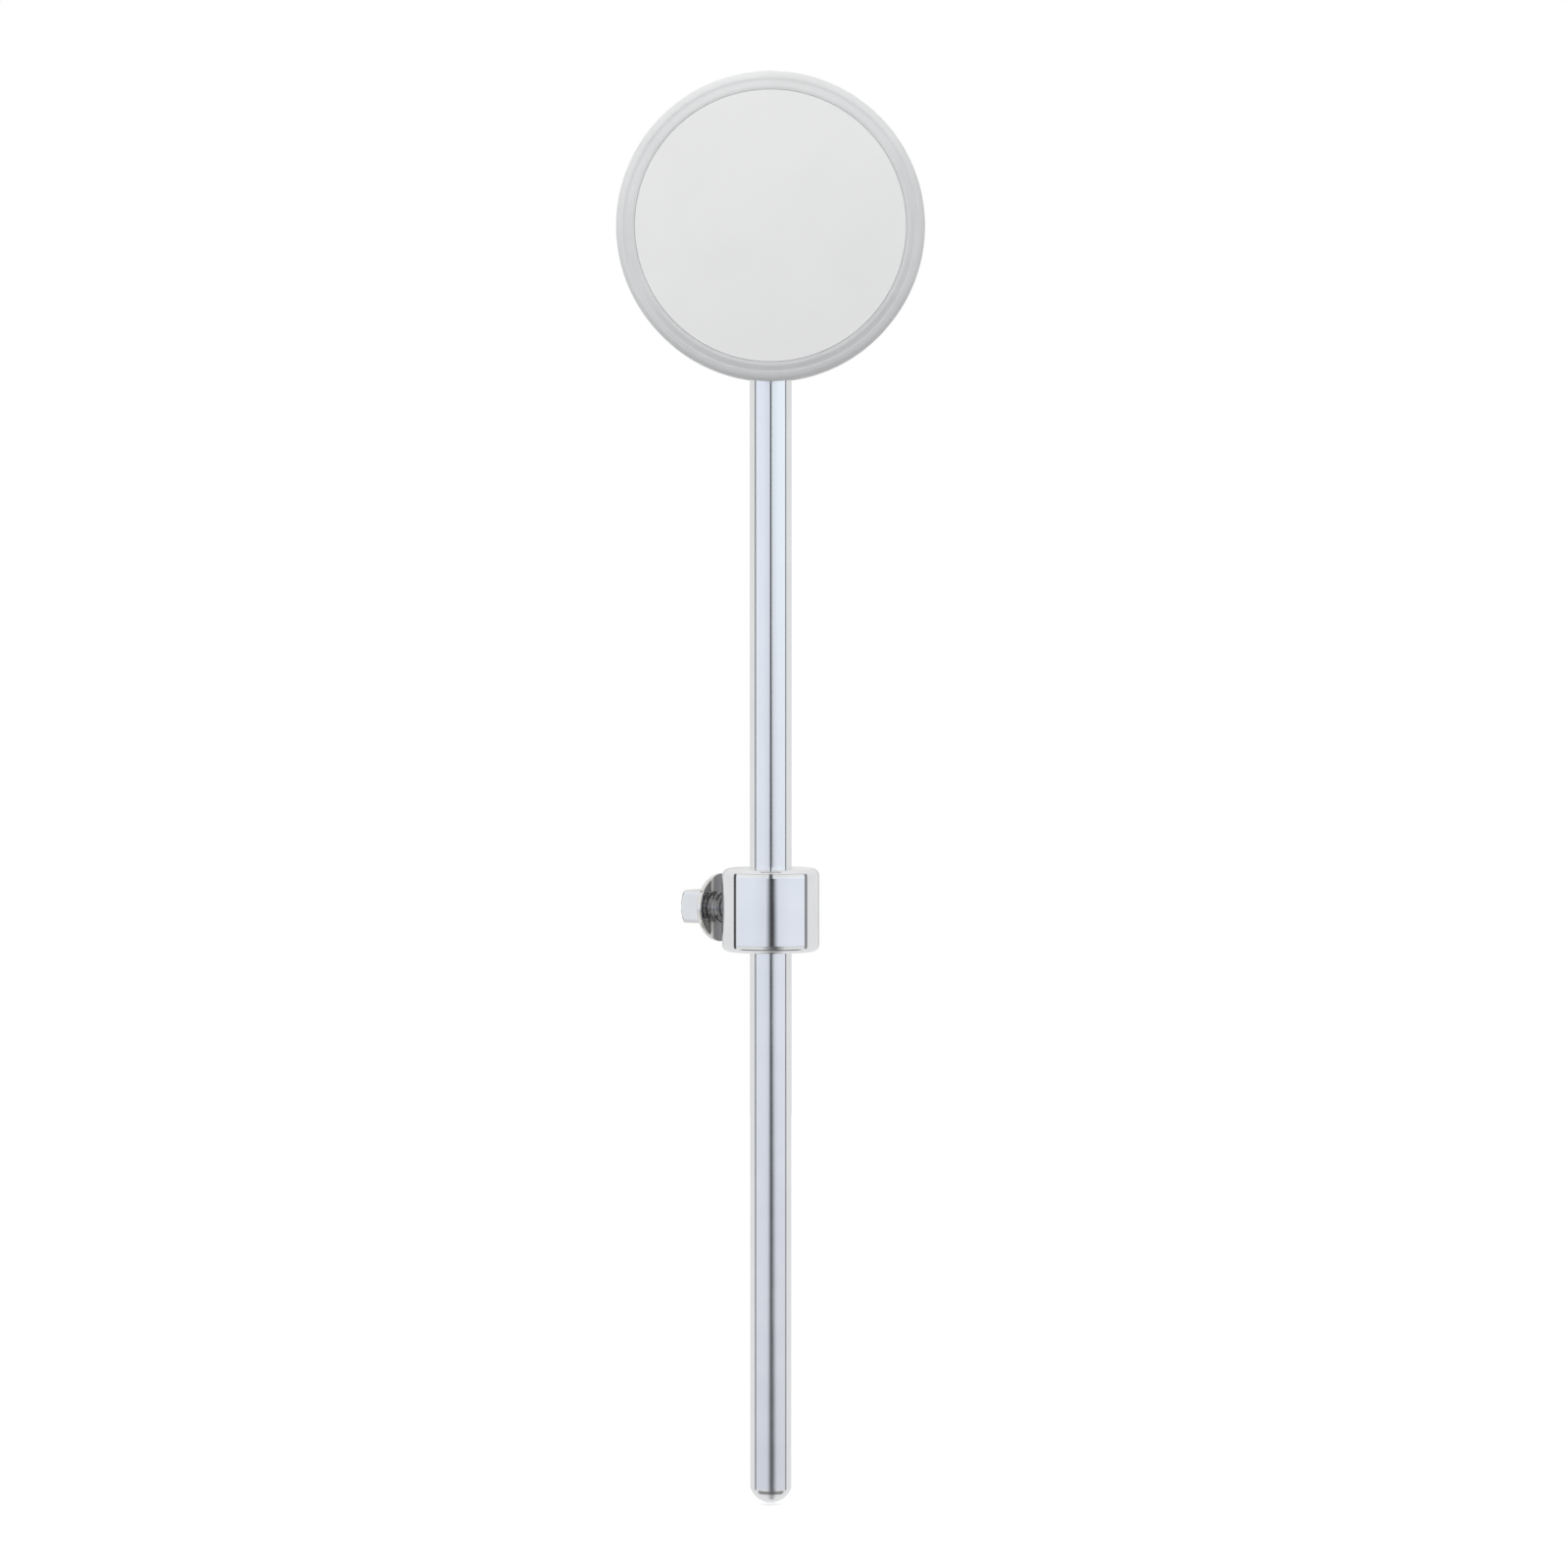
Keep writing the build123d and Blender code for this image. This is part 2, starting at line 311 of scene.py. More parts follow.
def cut_out(piece, tool, name):
    """Cuts the tool's shape out of a piece with a Boolean, and removes the tool."""
    boolean = piece.modifiers.new(name, "BOOLEAN")
    boolean.operation, boolean.solver, boolean.object = "DIFFERENCE", "EXACT", tool
    graph = bpy.context.evaluated_depsgraph_get()
    mesh = bpy.data.meshes.new_from_object(piece.evaluated_get(graph), depsgraph=graph)
    piece.modifiers.clear()
    piece.data = mesh
    bpy.data.objects.remove(tool)


# %% [markdown]
# ## Finishes
#
# A finish is a colour plus the small marks that making and use leave behind. Patterns are
# measured on the object itself, in metres, so a noise scale of 5000 repeats about every fifth of
# a millimetre. Numbers that are the same all over sit directly on the shader; only what varies is
# linked.

# %% Helpers for finishes
def new_finish(name, colour, **numbers):
    """A material with one colour and its plain numbers set on the shader."""
    material = bpy.data.materials.new(name)
    material.use_nodes = True
    material.diffuse_color = (*colour, 1)
    shader = material.node_tree.nodes["Principled BSDF"]
    shader.inputs["Base Color"].default_value = (*colour, 1)
    for label, value in numbers.items():
        shader.inputs[label.replace("_", " ")].default_value = value
    return material, material.node_tree, shader


def noise(tree, scale, detail=3.0, stretch=(1, 1, 1), twist=0.0):
    """A noise pattern on the object's own coordinates, in 1/m."""
    where = put(tree, "ShaderNodeTexCoord").outputs["Object"]
    mapped = put(tree, "ShaderNodeMapping", {"Vector": where, "Scale": stretch}).outputs[0]
    filled = {"Vector": mapped, "Scale": scale, "Detail": detail, "Distortion": twist}
    return put(tree, "ShaderNodeTexNoise", filled).outputs["Fac"]


def spread(tree, value, low, high, new_low, new_high):
    """Stretches value from one range to another, and holds it at the ends."""
    names = ("Value", "From Min", "From Max", "To Min", "To Max")
    filled = dict(zip(names, (value, low, high, new_low, new_high)))
    return put(tree, "ShaderNodeMapRange", filled).outputs[0]


def raise_surface(tree, shader, *layers):
    """Bumps laid one over another: (pattern, height in metres) each."""
    normal = None
    for pattern, height in layers:
        filled = {"Height": pattern, "Distance": height}
        if normal is not None:
            filled["Normal"] = normal
        normal = put(tree, "ShaderNodeBump", filled).outputs[0]
    tree.links.new(normal, shader.inputs["Normal"])


def blend(tree, factor, under, over):
    """The colour of one Mix node: under where factor is 0 and over where it is 1."""
    mixed = put(tree, "ShaderNodeMix", {"Factor": factor}, data_type="RGBA")
    for index, colour in ((6, under), (7, over)):
        if isinstance(colour, tuple):
            mixed.inputs[index].default_value = (*colour, 1)
        else:
            tree.links.new(colour, mixed.inputs[index])
    return mixed.outputs[2]


def tint(tree, shader, pattern, dark, light):
    """Colour that varies with a pattern between two colours."""
    colour = blend(tree, pattern, dark, light)
    tree.links.new(colour, shader.inputs["Base Color"])
    return colour


# %% [markdown]
# ### Chrome
#
# The rod is ground and polished as it spins, then plated, so what little marks it has run round
# it. The rings are far finer than the eye resolves and spread each reflection up and down, which
# is why the rod's shine is stretched along its axis. The collar and the screw are buffed
# brighter. A few fine scratches, and smudges from handling, change the roughness slightly. The
# screw is nickel, which is a little warmer. Under its flange and along its shank, where it comes
# near the collar, its colour is painted dark as shade, and it is made rougher there.

# %% Chrome, polished in the lathe
CHROME = (0.86, 0.87, 0.89)
CHROME_TONES = ((0.84, 0.85, 0.865), (0.88, 0.885, 0.895))
NICKEL_TONES = ((0.83, 0.815, 0.785), (0.87, 0.855, 0.825))
# Painted shade: a dark colour for the screw under its flange and on its shank, with more roughness
# there.
UNDER_FLANGE_SHADE, UNDER_FLANGE_ROUGHER = (0.3, 0.3, 0.305), 0.1


def new_chrome(name, dull, marks, ring_height, tones=CHROME_TONES, stretched=0.0, flange_shade_r=0.0):
    """Bright plating: least roughness, how its marks run in 1/m, and their depth in metres."""
    material, tree, shader = new_finish(name, CHROME, Metallic=1.0, Roughness=0.1)
    smudge = noise(tree, 130, 4.0)
    scratch = noise(tree, 6.0, 2.0, marks)
    worn = spread(tree, scratch, 0.62, 0.74, 0, 0.05)
    rough = sums(tree, "ADD", spread(tree, smudge, 0.3, 0.7, dull, dull + 0.035), worn)
    bright = tint(tree, shader, spread(tree, smudge, 0.35, 0.7, 0, 1), *tones)
    # Painted shade: nearer the rod than the flange's underside, the colour is painted dark and the
    # roughness rises.
    if flange_shade_r:
        place = put(tree, "ShaderNodeTexCoord").outputs["Object"]
        level = put(tree, "ShaderNodeVectorMath", {0: place, 1: (1, 1, 0)}, operation="MULTIPLY")
        filled = {0: level.outputs[0]}
        out = put(tree, "ShaderNodeVectorMath", filled, operation="LENGTH").outputs["Value"]
        hidden = spread(tree, out, (flange_shade_r + 0.25) * MM, (flange_shade_r + 0.4) * MM, 1, 0)
        rough = sums(tree, "ADD", rough, sums(tree, "MULTIPLY", hidden, UNDER_FLANGE_ROUGHER))
        tint(tree, shader, hidden, bright, UNDER_FLANGE_SHADE)
    tree.links.new(rough, shader.inputs["Roughness"])
    rings, grain = noise(tree, 1.0, 2.0, marks), noise(tree, 2600, 2.0)
    raise_surface(tree, shader, (rings, ring_height), (grain, 0.0000005))
    if stretched:
        shader.inputs["Anisotropic"].default_value = stretched
        shader.inputs["Anisotropic Rotation"].default_value = 0.25
        around = put(tree, "ShaderNodeTangent", direction_type="RADIAL", axis="Z").outputs[0]
        tree.links.new(around, shader.inputs["Tangent"])
    return material


ROUND_THE_ROD, ANY_WAY = (120, 120, 14000), (220, 220, 220)
rod_chrome = new_chrome("rod_chrome", 0.085, ROUND_THE_ROD, 0.0000016, stretched=0.8)
collar_chrome = new_chrome("collar_chrome", 0.045, ROUND_THE_ROD, 0.0000004)
FLANGE_UNDER = collar_r + 3.1
screw_chrome = new_chrome(
    "screw_chrome", 0.05, ANY_WAY, 0.0000002, tones=NICKEL_TONES, flange_shade_r=FLANGE_UNDER
)
print("chrome finishes:", rod_chrome.name, collar_chrome.name, screw_chrome.name)

# %% [markdown]
# ### Striking plastic, rubber and the hidden plastics
#
# The striking disc is moulded hard plastic with a satin face. The edge ring is a softer, frosted
# and slightly clear elastomer: light goes a little way in, which lifts its shaded side. Both get
# a fine grain from the mould, and a faint cloudiness, since no moulding is perfectly even.

# %% Moulded finishes
def new_moulded(name, dark, light, rough, grain, grain_height, **numbers):
    """A moulded plastic or rubber: cloudy colour, uneven gloss, and grain from the mould."""
    material, tree, shader = new_finish(name, light, **numbers)
    cloud = noise(tree, 70, 4.0, twist=0.6)
    tint(tree, shader, spread(tree, cloud, 0.3, 0.7, 0, 1), dark, light)
    patch = noise(tree, 420, 3.0)
    uneven = spread(tree, patch, 0.3, 0.7, rough - 0.05, rough + 0.05)
    tree.links.new(uneven, shader.inputs["Roughness"])
    raise_surface(tree, shader, (noise(tree, grain, 3.0), grain_height), (patch, grain_height * 2))
    return material


white_satin = new_moulded(
    "white_satin", (0.86, 0.855, 0.845), (0.88, 0.875, 0.865), 0.42, 3800, 0.000002,
    Specular_IOR_Level=0.4,
)
frosted_rubber = new_moulded(
    "frosted_rubber", (0.73, 0.73, 0.725), (0.78, 0.78, 0.775), 0.5, 2600, 0.0000015,
    Subsurface_Weight=0.35, Subsurface_Radius=(1, 1, 1), Subsurface_Scale=0.0025,
    Sheen_Weight=0.4, Sheen_Roughness=0.35,
)
core_white = new_moulded("core_white", (0.8, 0.8, 0.76), (0.86, 0.86, 0.83), 0.5, 3000, 0.000008)
clear_nylon = new_moulded(
    "clear_nylon", (0.76, 0.79, 0.82), (0.83, 0.85, 0.87), 0.35, 2500, 0.000004
)
print("moulded finishes:", white_satin.name, frosted_rubber.name, core_white.name, clear_nylon.name)

# %% [markdown]
# ### Zinc and felt
#
# Zinc plating is duller than chrome and shows faint crystals. Pressed wool felt is many short
# fibres: its colour wanders from fibre to fibre, it is rough all over, and it catches light at
# its edge, which the sheen gives. The fibres themselves are modelled further down.

# %% Zinc and felt finishes
zinc, tree, shader = new_finish("zinc_plate", (0.72, 0.73, 0.75), Metallic=1.0, Roughness=0.3)
crystals = put(tree, "ShaderNodeTexVoronoi", {"Scale": 1500.0})
tree.links.new(put(tree, "ShaderNodeTexCoord").outputs["Object"], crystals.inputs["Vector"])
tree.links.new(spread(tree, noise(tree, 900), 0.3, 0.7, 0.26, 0.42), shader.inputs["Roughness"])
tint(tree, shader, crystals.outputs["Distance"], (0.66, 0.67, 0.7), (0.75, 0.76, 0.77))
raise_surface(tree, shader, (noise(tree, 3200), 0.000004))

wool, tree, shader = new_finish(
    "pressed_wool", (0.83, 0.82, 0.79), Sheen_Weight=0.5, Sheen_Roughness=0.45,
    Specular_IOR_Level=0.15,
)
strands = noise(tree, 2400, 6.0, twist=2.5)
clumps = noise(tree, 330, 4.0, twist=1.0)
STRAND_SHARE = 0.55
fine, coarse = sums(tree, "MULTIPLY", strands, STRAND_SHARE), sums(tree, "MULTIPLY", clumps, 0.45)
weave = sums(tree, "ADD", fine, coarse)
tint(tree, shader, spread(tree, weave, 0.36, 0.64, 0, 1), (0.72, 0.71, 0.68), (0.88, 0.87, 0.84))
tree.links.new(spread(tree, clumps, 0.3, 0.7, 0.82, 0.98), shader.inputs["Roughness"])
raise_surface(tree, shader, (clumps, 0.00012), (strands, 0.00006))
print("finishes made:", len(bpy.data.materials))

# %% [markdown]
# ## Cutting threads
#
# A thread is a groove that climbs one pitch per turn. Instead of drawing the groove, this tree
# asks each point of a finely divided blank how far it is along its turn of the helix, and moves
# it in to the thread's depth there. Crests and roots stay flat, as on a rolled metric thread, and
# it fades out at the plain end. It works on any lathe part, with no cutting and no seams.

# %% Build the thread tree
threading, dial = new_tree(
    "thread",
    [("Pitch", "Float"), ("Depth", "Float"), ("Radius", "Float"), ("Starts", "Float"),
     ("Ends", "Float"), ("Finish", "Material")],
)
CREST, ROOT = 0.875, 0.25
do = partial(sums, threading)
spot = put(threading, "GeometryNodeInputPosition").outputs[0]
px, py, pz = put(threading, "ShaderNodeSeparateXYZ", {0: spot}).outputs[:3]
across = do("SQRT", do("ADD", do("MULTIPLY", px, px), do("MULTIPLY", py, py)))
share = do("DIVIDE", do("ARCTAN2", py, px), 2 * math.pi)
along = do("FRACT", do("SUBTRACT", do("DIVIDE", pz, dial["Pitch"]), share))
ridge = do("MULTIPLY", do("ABSOLUTE", do("SUBTRACT", along, 0.5)), 2.0)
groove = spread(threading, ridge, ROOT, CREST, 1, 0)
run_in = do("DIVIDE", do("SUBTRACT", pz, dial["Starts"]), dial["Pitch"], clamp=True)
run_out = do("DIVIDE", do("SUBTRACT", dial["Ends"], pz), dial["Pitch"], clamp=True)
threaded = do("MULTIPLY", run_in, run_out)
cut = do("MULTIPLY", do("MULTIPLY", groove, dial["Depth"]), threaded)
plain = do("SUBTRACT", 1.0, do("GREATER_THAN", threaded, 0.0))
limit = do("ADD", do("SUBTRACT", dial["Radius"], cut), plain)
squeeze = do("DIVIDE", do("MINIMUM", across, limit), do("MAXIMUM", across, 1e-7))
moved = put(
    threading, "ShaderNodeCombineXYZ",
    {0: do("MULTIPLY", px, squeeze), 1: do("MULTIPLY", py, squeeze), 2: pz},
)
cut_mesh = put(
    threading, "GeometryNodeSetPosition",
    {"Geometry": dial["Geometry"], "Position": moved.outputs[0]},
)
close_tree(threading, cut_mesh.outputs[0], dial["Finish"])

M6_R, M6_PITCH, M6_DEPTH = 3.0, 1.0, 0.613
ROWS_PER_TURN = 14


def blank_rows(start, end):
    """Points up a threaded length, close enough together to carry the grooves."""
    rows = round((end - start) / M6_PITCH * ROWS_PER_TURN)
    return [(M6_R, start + (end - start) * i / rows) for i in range(1, rows)]


def cut_thread(holder, start, end, finish):
    """Cuts an M6 thread between two heights in mm."""
    run_tree(
        holder, threading, Pitch=M6_PITCH * MM, Depth=M6_DEPTH * MM, Radius=M6_R * MM,
        Starts=start * MM, Ends=end * MM, Finish=finish,
    )


print("thread tree nodes", len(threading.nodes))

# %% [markdown]
# ## The rod
#
# One length of bright steel bar: a low domed end that slides into the pedal's hub, a plain wall,
# a shoulder, and an M6 thread that holds the head. The thread is out of sight inside the head,
# but the part is whole without its neighbours. 144 segments keep the outline round and the shine
# unbroken.

# %% Turn and thread the rod
DOME_HEIGHT, DOME_STEPS, DOME_EASE = 2.9, 22, 0.16
SHOULDER_BELOW_CENTRE, SHOULDER_ROUND = 6.0, 0.2
THREAD_CHAMFER, WALL_SPANS = 0.6, 12
shoulder_z = head_z - SHOULDER_BELOW_CENTRE
dome_r = cap_radius(rod_r, DOME_HEIGHT)
dome_sweep = math.asin(rod_r / dome_r)
dome = []
for i in range(DOME_STEPS):
    a = dome_sweep * i / DOME_STEPS
    dome.append((dome_r * math.sin(a), dome_r * (1 - math.cos(a))))

wall = rounded(
    [
        (*dome[-1], 0), (rod_r, DOME_HEIGHT, DOME_EASE), (rod_r, shoulder_z, SHOULDER_ROUND),
        (M6_R, shoulder_z, 0),
    ]
)
wall_lo, wall_hi = DOME_HEIGHT + 1, shoulder_z - 1
lower = [p for p in wall if p[1] < wall_lo][1:]
upper = [p for p in wall if p[1] > wall_hi]
spans = [(rod_r, wall_lo + (wall_hi - wall_lo) * i / WALL_SPANS) for i in range(WALL_SPANS + 1)]
thread_rows = blank_rows(shoulder_z, thread_end - THREAD_CHAMFER)
top = [(M6_R, thread_end - THREAD_CHAMFER), (M6_R - THREAD_CHAMFER, thread_end), (0, thread_end)]

holder = outline("rod_outline", dome + lower + spans + upper + thread_rows + top)
run_tree(holder, lathe, Segments=144, Finish=rod_chrome)
cut_thread(holder, shoulder_z + 0.3, thread_end + 2, rod_chrome)
rod = tidy_mesh(keep_mesh("rod", holder))
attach(rod, "beater")
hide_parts("beater_shaft")

# %% [markdown]
# ## The stop collar
#
# A short sleeve that rests on the pedal's hub, so that the beater always goes back in at the same
# height. It is turned with generous rounds and a small chamfer at each end of its bore. The
# tapped hole for the key screw is cut last, with a Boolean, and its rim stays crisp because edges
# sharper than 32 degrees are marked.

# %% Turn the collar and drill it
COLLAR_ROUND = 1.5
BORE_R, BORE_CHAMFER, BORE_EASE = rod_r + 0.05, 0.4, 0.06
HOLE_R, HOLE_FLOOR = 3.05, 1.5
rim = collar_half - BORE_CHAMFER
section = rounded(
    [
        (collar_r, -collar_half, COLLAR_ROUND), (collar_r, collar_half, COLLAR_ROUND),
        (BORE_R + BORE_CHAMFER, collar_half, BORE_EASE), (BORE_R, rim, BORE_EASE),
        (BORE_R, -rim, BORE_EASE), (BORE_R + BORE_CHAMFER, -collar_half, BORE_EASE),
    ],
    closed=True,
)
holder = outline("collar_outline", [(r, z + collar_z) for r, z in section], closed=True)
run_tree(holder, lathe, Segments=160, Finish=collar_chrome)
collar = tidy_mesh(keep_mesh("collar", holder))

holder = bar("drill_outline", HOLE_R, HOLE_FLOOR, collar_r + 2)
run_tree(holder, lathe, Segments=64, Finish=collar_chrome)
drill = tidy_mesh(keep_mesh("drill", holder), ON_SCREW)
cut_out(collar, drill, "tapped_hole")
tidy_mesh(collar)
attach(collar, "collar")
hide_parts("stop_collar")

# %% [markdown]
# ## The key screw
#
# The screw that clamps the collar has a square end for a drum key. Its shank is threaded, so the
# same thread tree is used on a blank laid along the screw's own axis, and the flange has an eased
# rim.
#
# The square is built from stacked rings. Each ring is a square whose corners are cut back to a
# circle, and that circle shrinks towards the free end, which turns the corners away.

# %% Turn the screw's shank and flange
SCREW_TIP, FLANGE_TOP = rod_r + 0.1, FLANGE_UNDER + 1.0
FLANGE_R, FLANGE_ROUND, NECK_LENGTH, NECK_FILLET = 6.6, 0.3, 0.8, 0.35
shank = [(0, SCREW_TIP), (M6_R - THREAD_CHAMFER, SCREW_TIP), (M6_R, SCREW_TIP + THREAD_CHAMFER)]
shank += blank_rows(SCREW_TIP + THREAD_CHAMFER, FLANGE_UNDER - NECK_LENGTH)
neck = rounded(
    [
        (M6_R, FLANGE_UNDER - NECK_LENGTH, 0), (M6_R, FLANGE_UNDER, NECK_FILLET),
        (FLANGE_R, FLANGE_UNDER, FLANGE_ROUND), (FLANGE_R, FLANGE_TOP, FLANGE_ROUND),
        (0, FLANGE_TOP, 0),
    ]
)
holder = outline("screw_outline", shank + neck)
run_tree(holder, lathe, Segments=96, Finish=screw_chrome)
cut_thread(holder, SCREW_TIP - 2, FLANGE_UNDER - 0.6, screw_chrome)
screw = tidy_mesh(keep_mesh("key_screw_turned", holder), ON_SCREW)

# %% Stack the rings of the square
SQUARE_HALF, SQUARE_SEGMENTS, CORNER_POWER = 3.2, 96, 22
BEVEL_LENGTH, BEVEL_STEPS, BEVEL_CURVE = 0.9, 8, 1.5
END_R, END_RINGS = 3.3, 5
corner_r = SQUARE_HALF * math.sqrt(2)
square_start = FLANGE_TOP - 0.3


def square_ring(reach):
    """Points of a square with eased corners, cut back to a circle of that reach, in mm."""
    ring = []
    for i in range(SQUARE_SEGMENTS):
        a = 2 * math.pi * (i + 0.5) / SQUARE_SEGMENTS
        c, s = abs(math.cos(a)), abs(math.sin(a))
        eased = (c**CORNER_POWER + s**CORNER_POWER) ** (-1 / CORNER_POWER) * SQUARE_HALF
        r = min(eased, reach)
        ring.append((r * math.cos(a), r * math.sin(a)))
    return ring


square = bmesh.new()


def add_ring(points, height):
    """Adds one ring of points, in mm, to the square's mesh."""
    return [square.verts.new((x * MM, y * MM, height * MM)) for x, y in points]


below_bevel = square_end - BEVEL_LENGTH - 0.4
rings = [
    add_ring(square_ring(corner_r), z) for z in (square_start, square_start + 0.8, below_bevel)
]
for i in range(BEVEL_STEPS + 1):
    reach = corner_r + (END_R - corner_r) * (i / BEVEL_STEPS) ** BEVEL_CURVE
    rings.append(add_ring(square_ring(reach), square_end - BEVEL_LENGTH * (1 - i / BEVEL_STEPS)))
for i in range(1, END_RINGS):
    k = 1 - i / END_RINGS
    rings.append(add_ring([(x * k, y * k) for x, y in square_ring(END_R)], square_end))
for low, high in zip(rings, rings[1:]):
    for i in range(SQUARE_SEGMENTS):
        j = (i + 1) % SQUARE_SEGMENTS
        square.faces.new((low[i], low[j], high[j], high[i]))
square.faces.new(rings[-1])
square.faces.new(list(reversed(rings[0])))
square.transform(ON_SCREW)
for face in square.faces:
    face.smooth = True
print("square faces", len(square.faces))

# %% Join the square on
square_mesh = bpy.data.meshes.new("square")
square.to_mesh(square_mesh)
square.free()
both = bmesh.new()
both.from_mesh(screw.data)
both.from_mesh(square_mesh)
both.to_mesh(screw.data)
both.free()
screw.name = screw.data.name = "key_screw_detailed"
screw.data.set_sharp_from_angle(angle=math.radians(CRISP))
print("square end at", round(square_end, 2), "mm; screw faces", len(screw.data.polygons))
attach(screw, "screw")
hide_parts("key_screw")

# %% [markdown]
# ## The elastic edge ring
#
# The ring grips the core like a tyre and holds both faces behind its lips. Its section is drawn
# once, spun on the lathe about the head's axis, and laid over with the faint witness of its
# mould: a raised line across the ring where the two halves met, slightly off the rod's own line.
# A separate tree lifts the surface there by a few hundredths of a millimetre.

# %% Build the mould-line tree
mould_line, dial = new_tree(
    "mould_line",
    [("Angle", "Float"), ("Width", "Float"), ("Height", "Float"), ("Finish", "Material")],
)
do = partial(sums, mould_line)
spot = put(mould_line, "GeometryNodeInputPosition").outputs[0]
x, y, _ = put(mould_line, "ShaderNodeSeparateXYZ", {0: spot}).outputs
along_x = do("MULTIPLY", x, do("COSINE", dial["Angle"]))
along_y = do("MULTIPLY", y, do("SINE", dial["Angle"]))
off = do("ABSOLUTE", do("SUBTRACT", along_x, along_y))
near = do("SUBTRACT", 1.0, do("DIVIDE", off, dial["Width"]), clamp=True)
lifted = push_out(mould_line, dial["Geometry"], do("MULTIPLY", near, dial["Height"]))
close_tree(mould_line, lifted, dial["Finish"])
print("mould-line tree nodes", len(mould_line.nodes))

# %% Spin the ring
RIM_BAND, FACE_GAP, EDGE_ROUND, RING_WALL, GROOVE = 3.65, 0.1, 2.1, 2.45, 0.1
LIP_THICKNESS, LIP_STAND, LIP_SQUEEZE = 1.45, 0.5, 0.07
LINE_TILT, LINE_WIDTH, LINE_PROUD = math.radians(-6), 0.22, 0.03
skin = LINE_PROUD + 0.01
face_r = head_r - RIM_BAND
lip_r = face_r + FACE_GAP - LIP_SQUEEZE
core_r = head_r - RING_WALL + 0.05
bead = head_r - EDGE_ROUND
shoulder = half_width - LIP_STAND
half_section = [
    (core_r, half_width - LIP_THICKNESS, 0.1), (lip_r, half_width - LIP_THICKNESS, 0.1),
    (lip_r, half_width - skin, 0.12), (bead - 0.85, half_width - skin, 0.7),
    (bead + 0.2, shoulder - GROOVE, 0.8), (bead + 0.55, shoulder - GROOVE, 0.3),
    (head_r - skin, shoulder - 0.45, EDGE_ROUND - 0.3),
]
ring_corners = half_section + [(r, -y, k) for r, y, k in reversed(half_section)]
ring_points = rounded(ring_corners, closed=True)
holder = outline("ring_outline", ring_points, closed=True)
run_tree(holder, lathe, Segments=288, Finish=frosted_rubber)
run_tree(
    holder, mould_line, Angle=LINE_TILT, Width=LINE_WIDTH * MM, Height=LINE_PROUD * MM,
    Finish=frosted_rubber,
)
ring = tidy_mesh(keep_mesh("elastic_edge_ring", holder), ON_HEAD)

# %% Cut the rod's hole through the ring
HOLE_GAP = 0.2
ring_foot = head_z - head_r
holder = bar("hole_outline", rod_r + HOLE_GAP, ring_foot - 3, ring_foot + 5)
run_tree(holder, lathe, Segments=96, Finish=frosted_rubber)
punch = tidy_mesh(keep_mesh("punch", holder))
cut_out(ring, punch, "rod_hole")
tidy_mesh(ring, sharp=40)
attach(ring, "beater")
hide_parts("edge_ring")

# %% [markdown]
# ## The striking disc
#
# The hard white face is what hits the drum. It is very slightly domed, so that it never lands on
# its edge, and its flange is trapped behind the ring's lip. Many rings across the dome let the
# gentle curve catch the light evenly.

# %% Turn the striking disc
DISC_CROWN, DISC_EDGE, CROWN_STEPS = 0.6, 0.14, 47
FLANGE_DEPTH, FLANGE_EASE = 2.0, 0.15
disc_edge_y = disc_front + DISC_CROWN
flange_y = disc_back - FLANGE_DEPTH
crown_r = cap_radius(face_r - DISC_EDGE, DISC_CROWN)
crown = []
for i in range(CROWN_STEPS + 1):
    r = (face_r - DISC_EDGE - 0.05) * (1 - i / CROWN_STEPS)
    crown.append((r, disc_front + crown_r - math.sqrt(crown_r**2 - r**2)))
flange = rounded(
    [
        (0, disc_back, 0), (disc_r, disc_back, FLANGE_EASE), (disc_r, flange_y, FLANGE_EASE),
        (face_r, flange_y, 0),
    ]
)
edge = rounded(
    [
        (face_r, flange_y, 0), (face_r, disc_edge_y, DISC_EDGE),
        (face_r - 0.6, disc_edge_y - 0.01, 0),
    ]
)
holder = outline("disc_outline", flange + edge[1:-2] + crown)
run_tree(holder, lathe, Segments=256, Finish=white_satin)
disc = tidy_mesh(keep_mesh("striking_disc", holder), ON_HEAD)
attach(disc, "beater")
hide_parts("strike_disc")

# %% [markdown]
# ## The felt pad
#
# The other face is a disc of pressed wool felt for a softer stroke. It is a padded piece: crowned
# in the middle, pulled in towards its edge, and never quite even. The blank is spun, then a tree
# shifts its skin with noise, as pressing and wear do. It is flat only where it is bonded to its
# plate.

# %% Build the pressing tree
SEAT_FADE, USUAL_LUMP = 0.002, 0.62
pressing, dial = new_tree(
    "pressing",
    [("Unevenness", "Float"), ("Grain", "Float"), ("Seat", "Float"), ("Finish", "Material")],
)
do = partial(sums, pressing)
spot = put(pressing, "GeometryNodeInputPosition").outputs[0]
height = put(pressing, "ShaderNodeSeparateXYZ", {0: spot}).outputs[2]
above = do("DIVIDE", do("SUBTRACT", height, dial["Seat"]), SEAT_FADE, clamp=True)
filled = {"Vector": spot, "Scale": dial["Grain"], "Detail": 4.0}
lumps = put(pressing, "ShaderNodeTexNoise", filled).outputs["Fac"]
push = do("MULTIPLY", do("SUBTRACT", lumps, USUAL_LUMP), above)
push = do("MULTIPLY", push, dial["Unevenness"])
close_tree(pressing, push_out(pressing, dial["Geometry"], push), dial["Finish"])
print("pressing tree nodes", len(pressing.nodes))

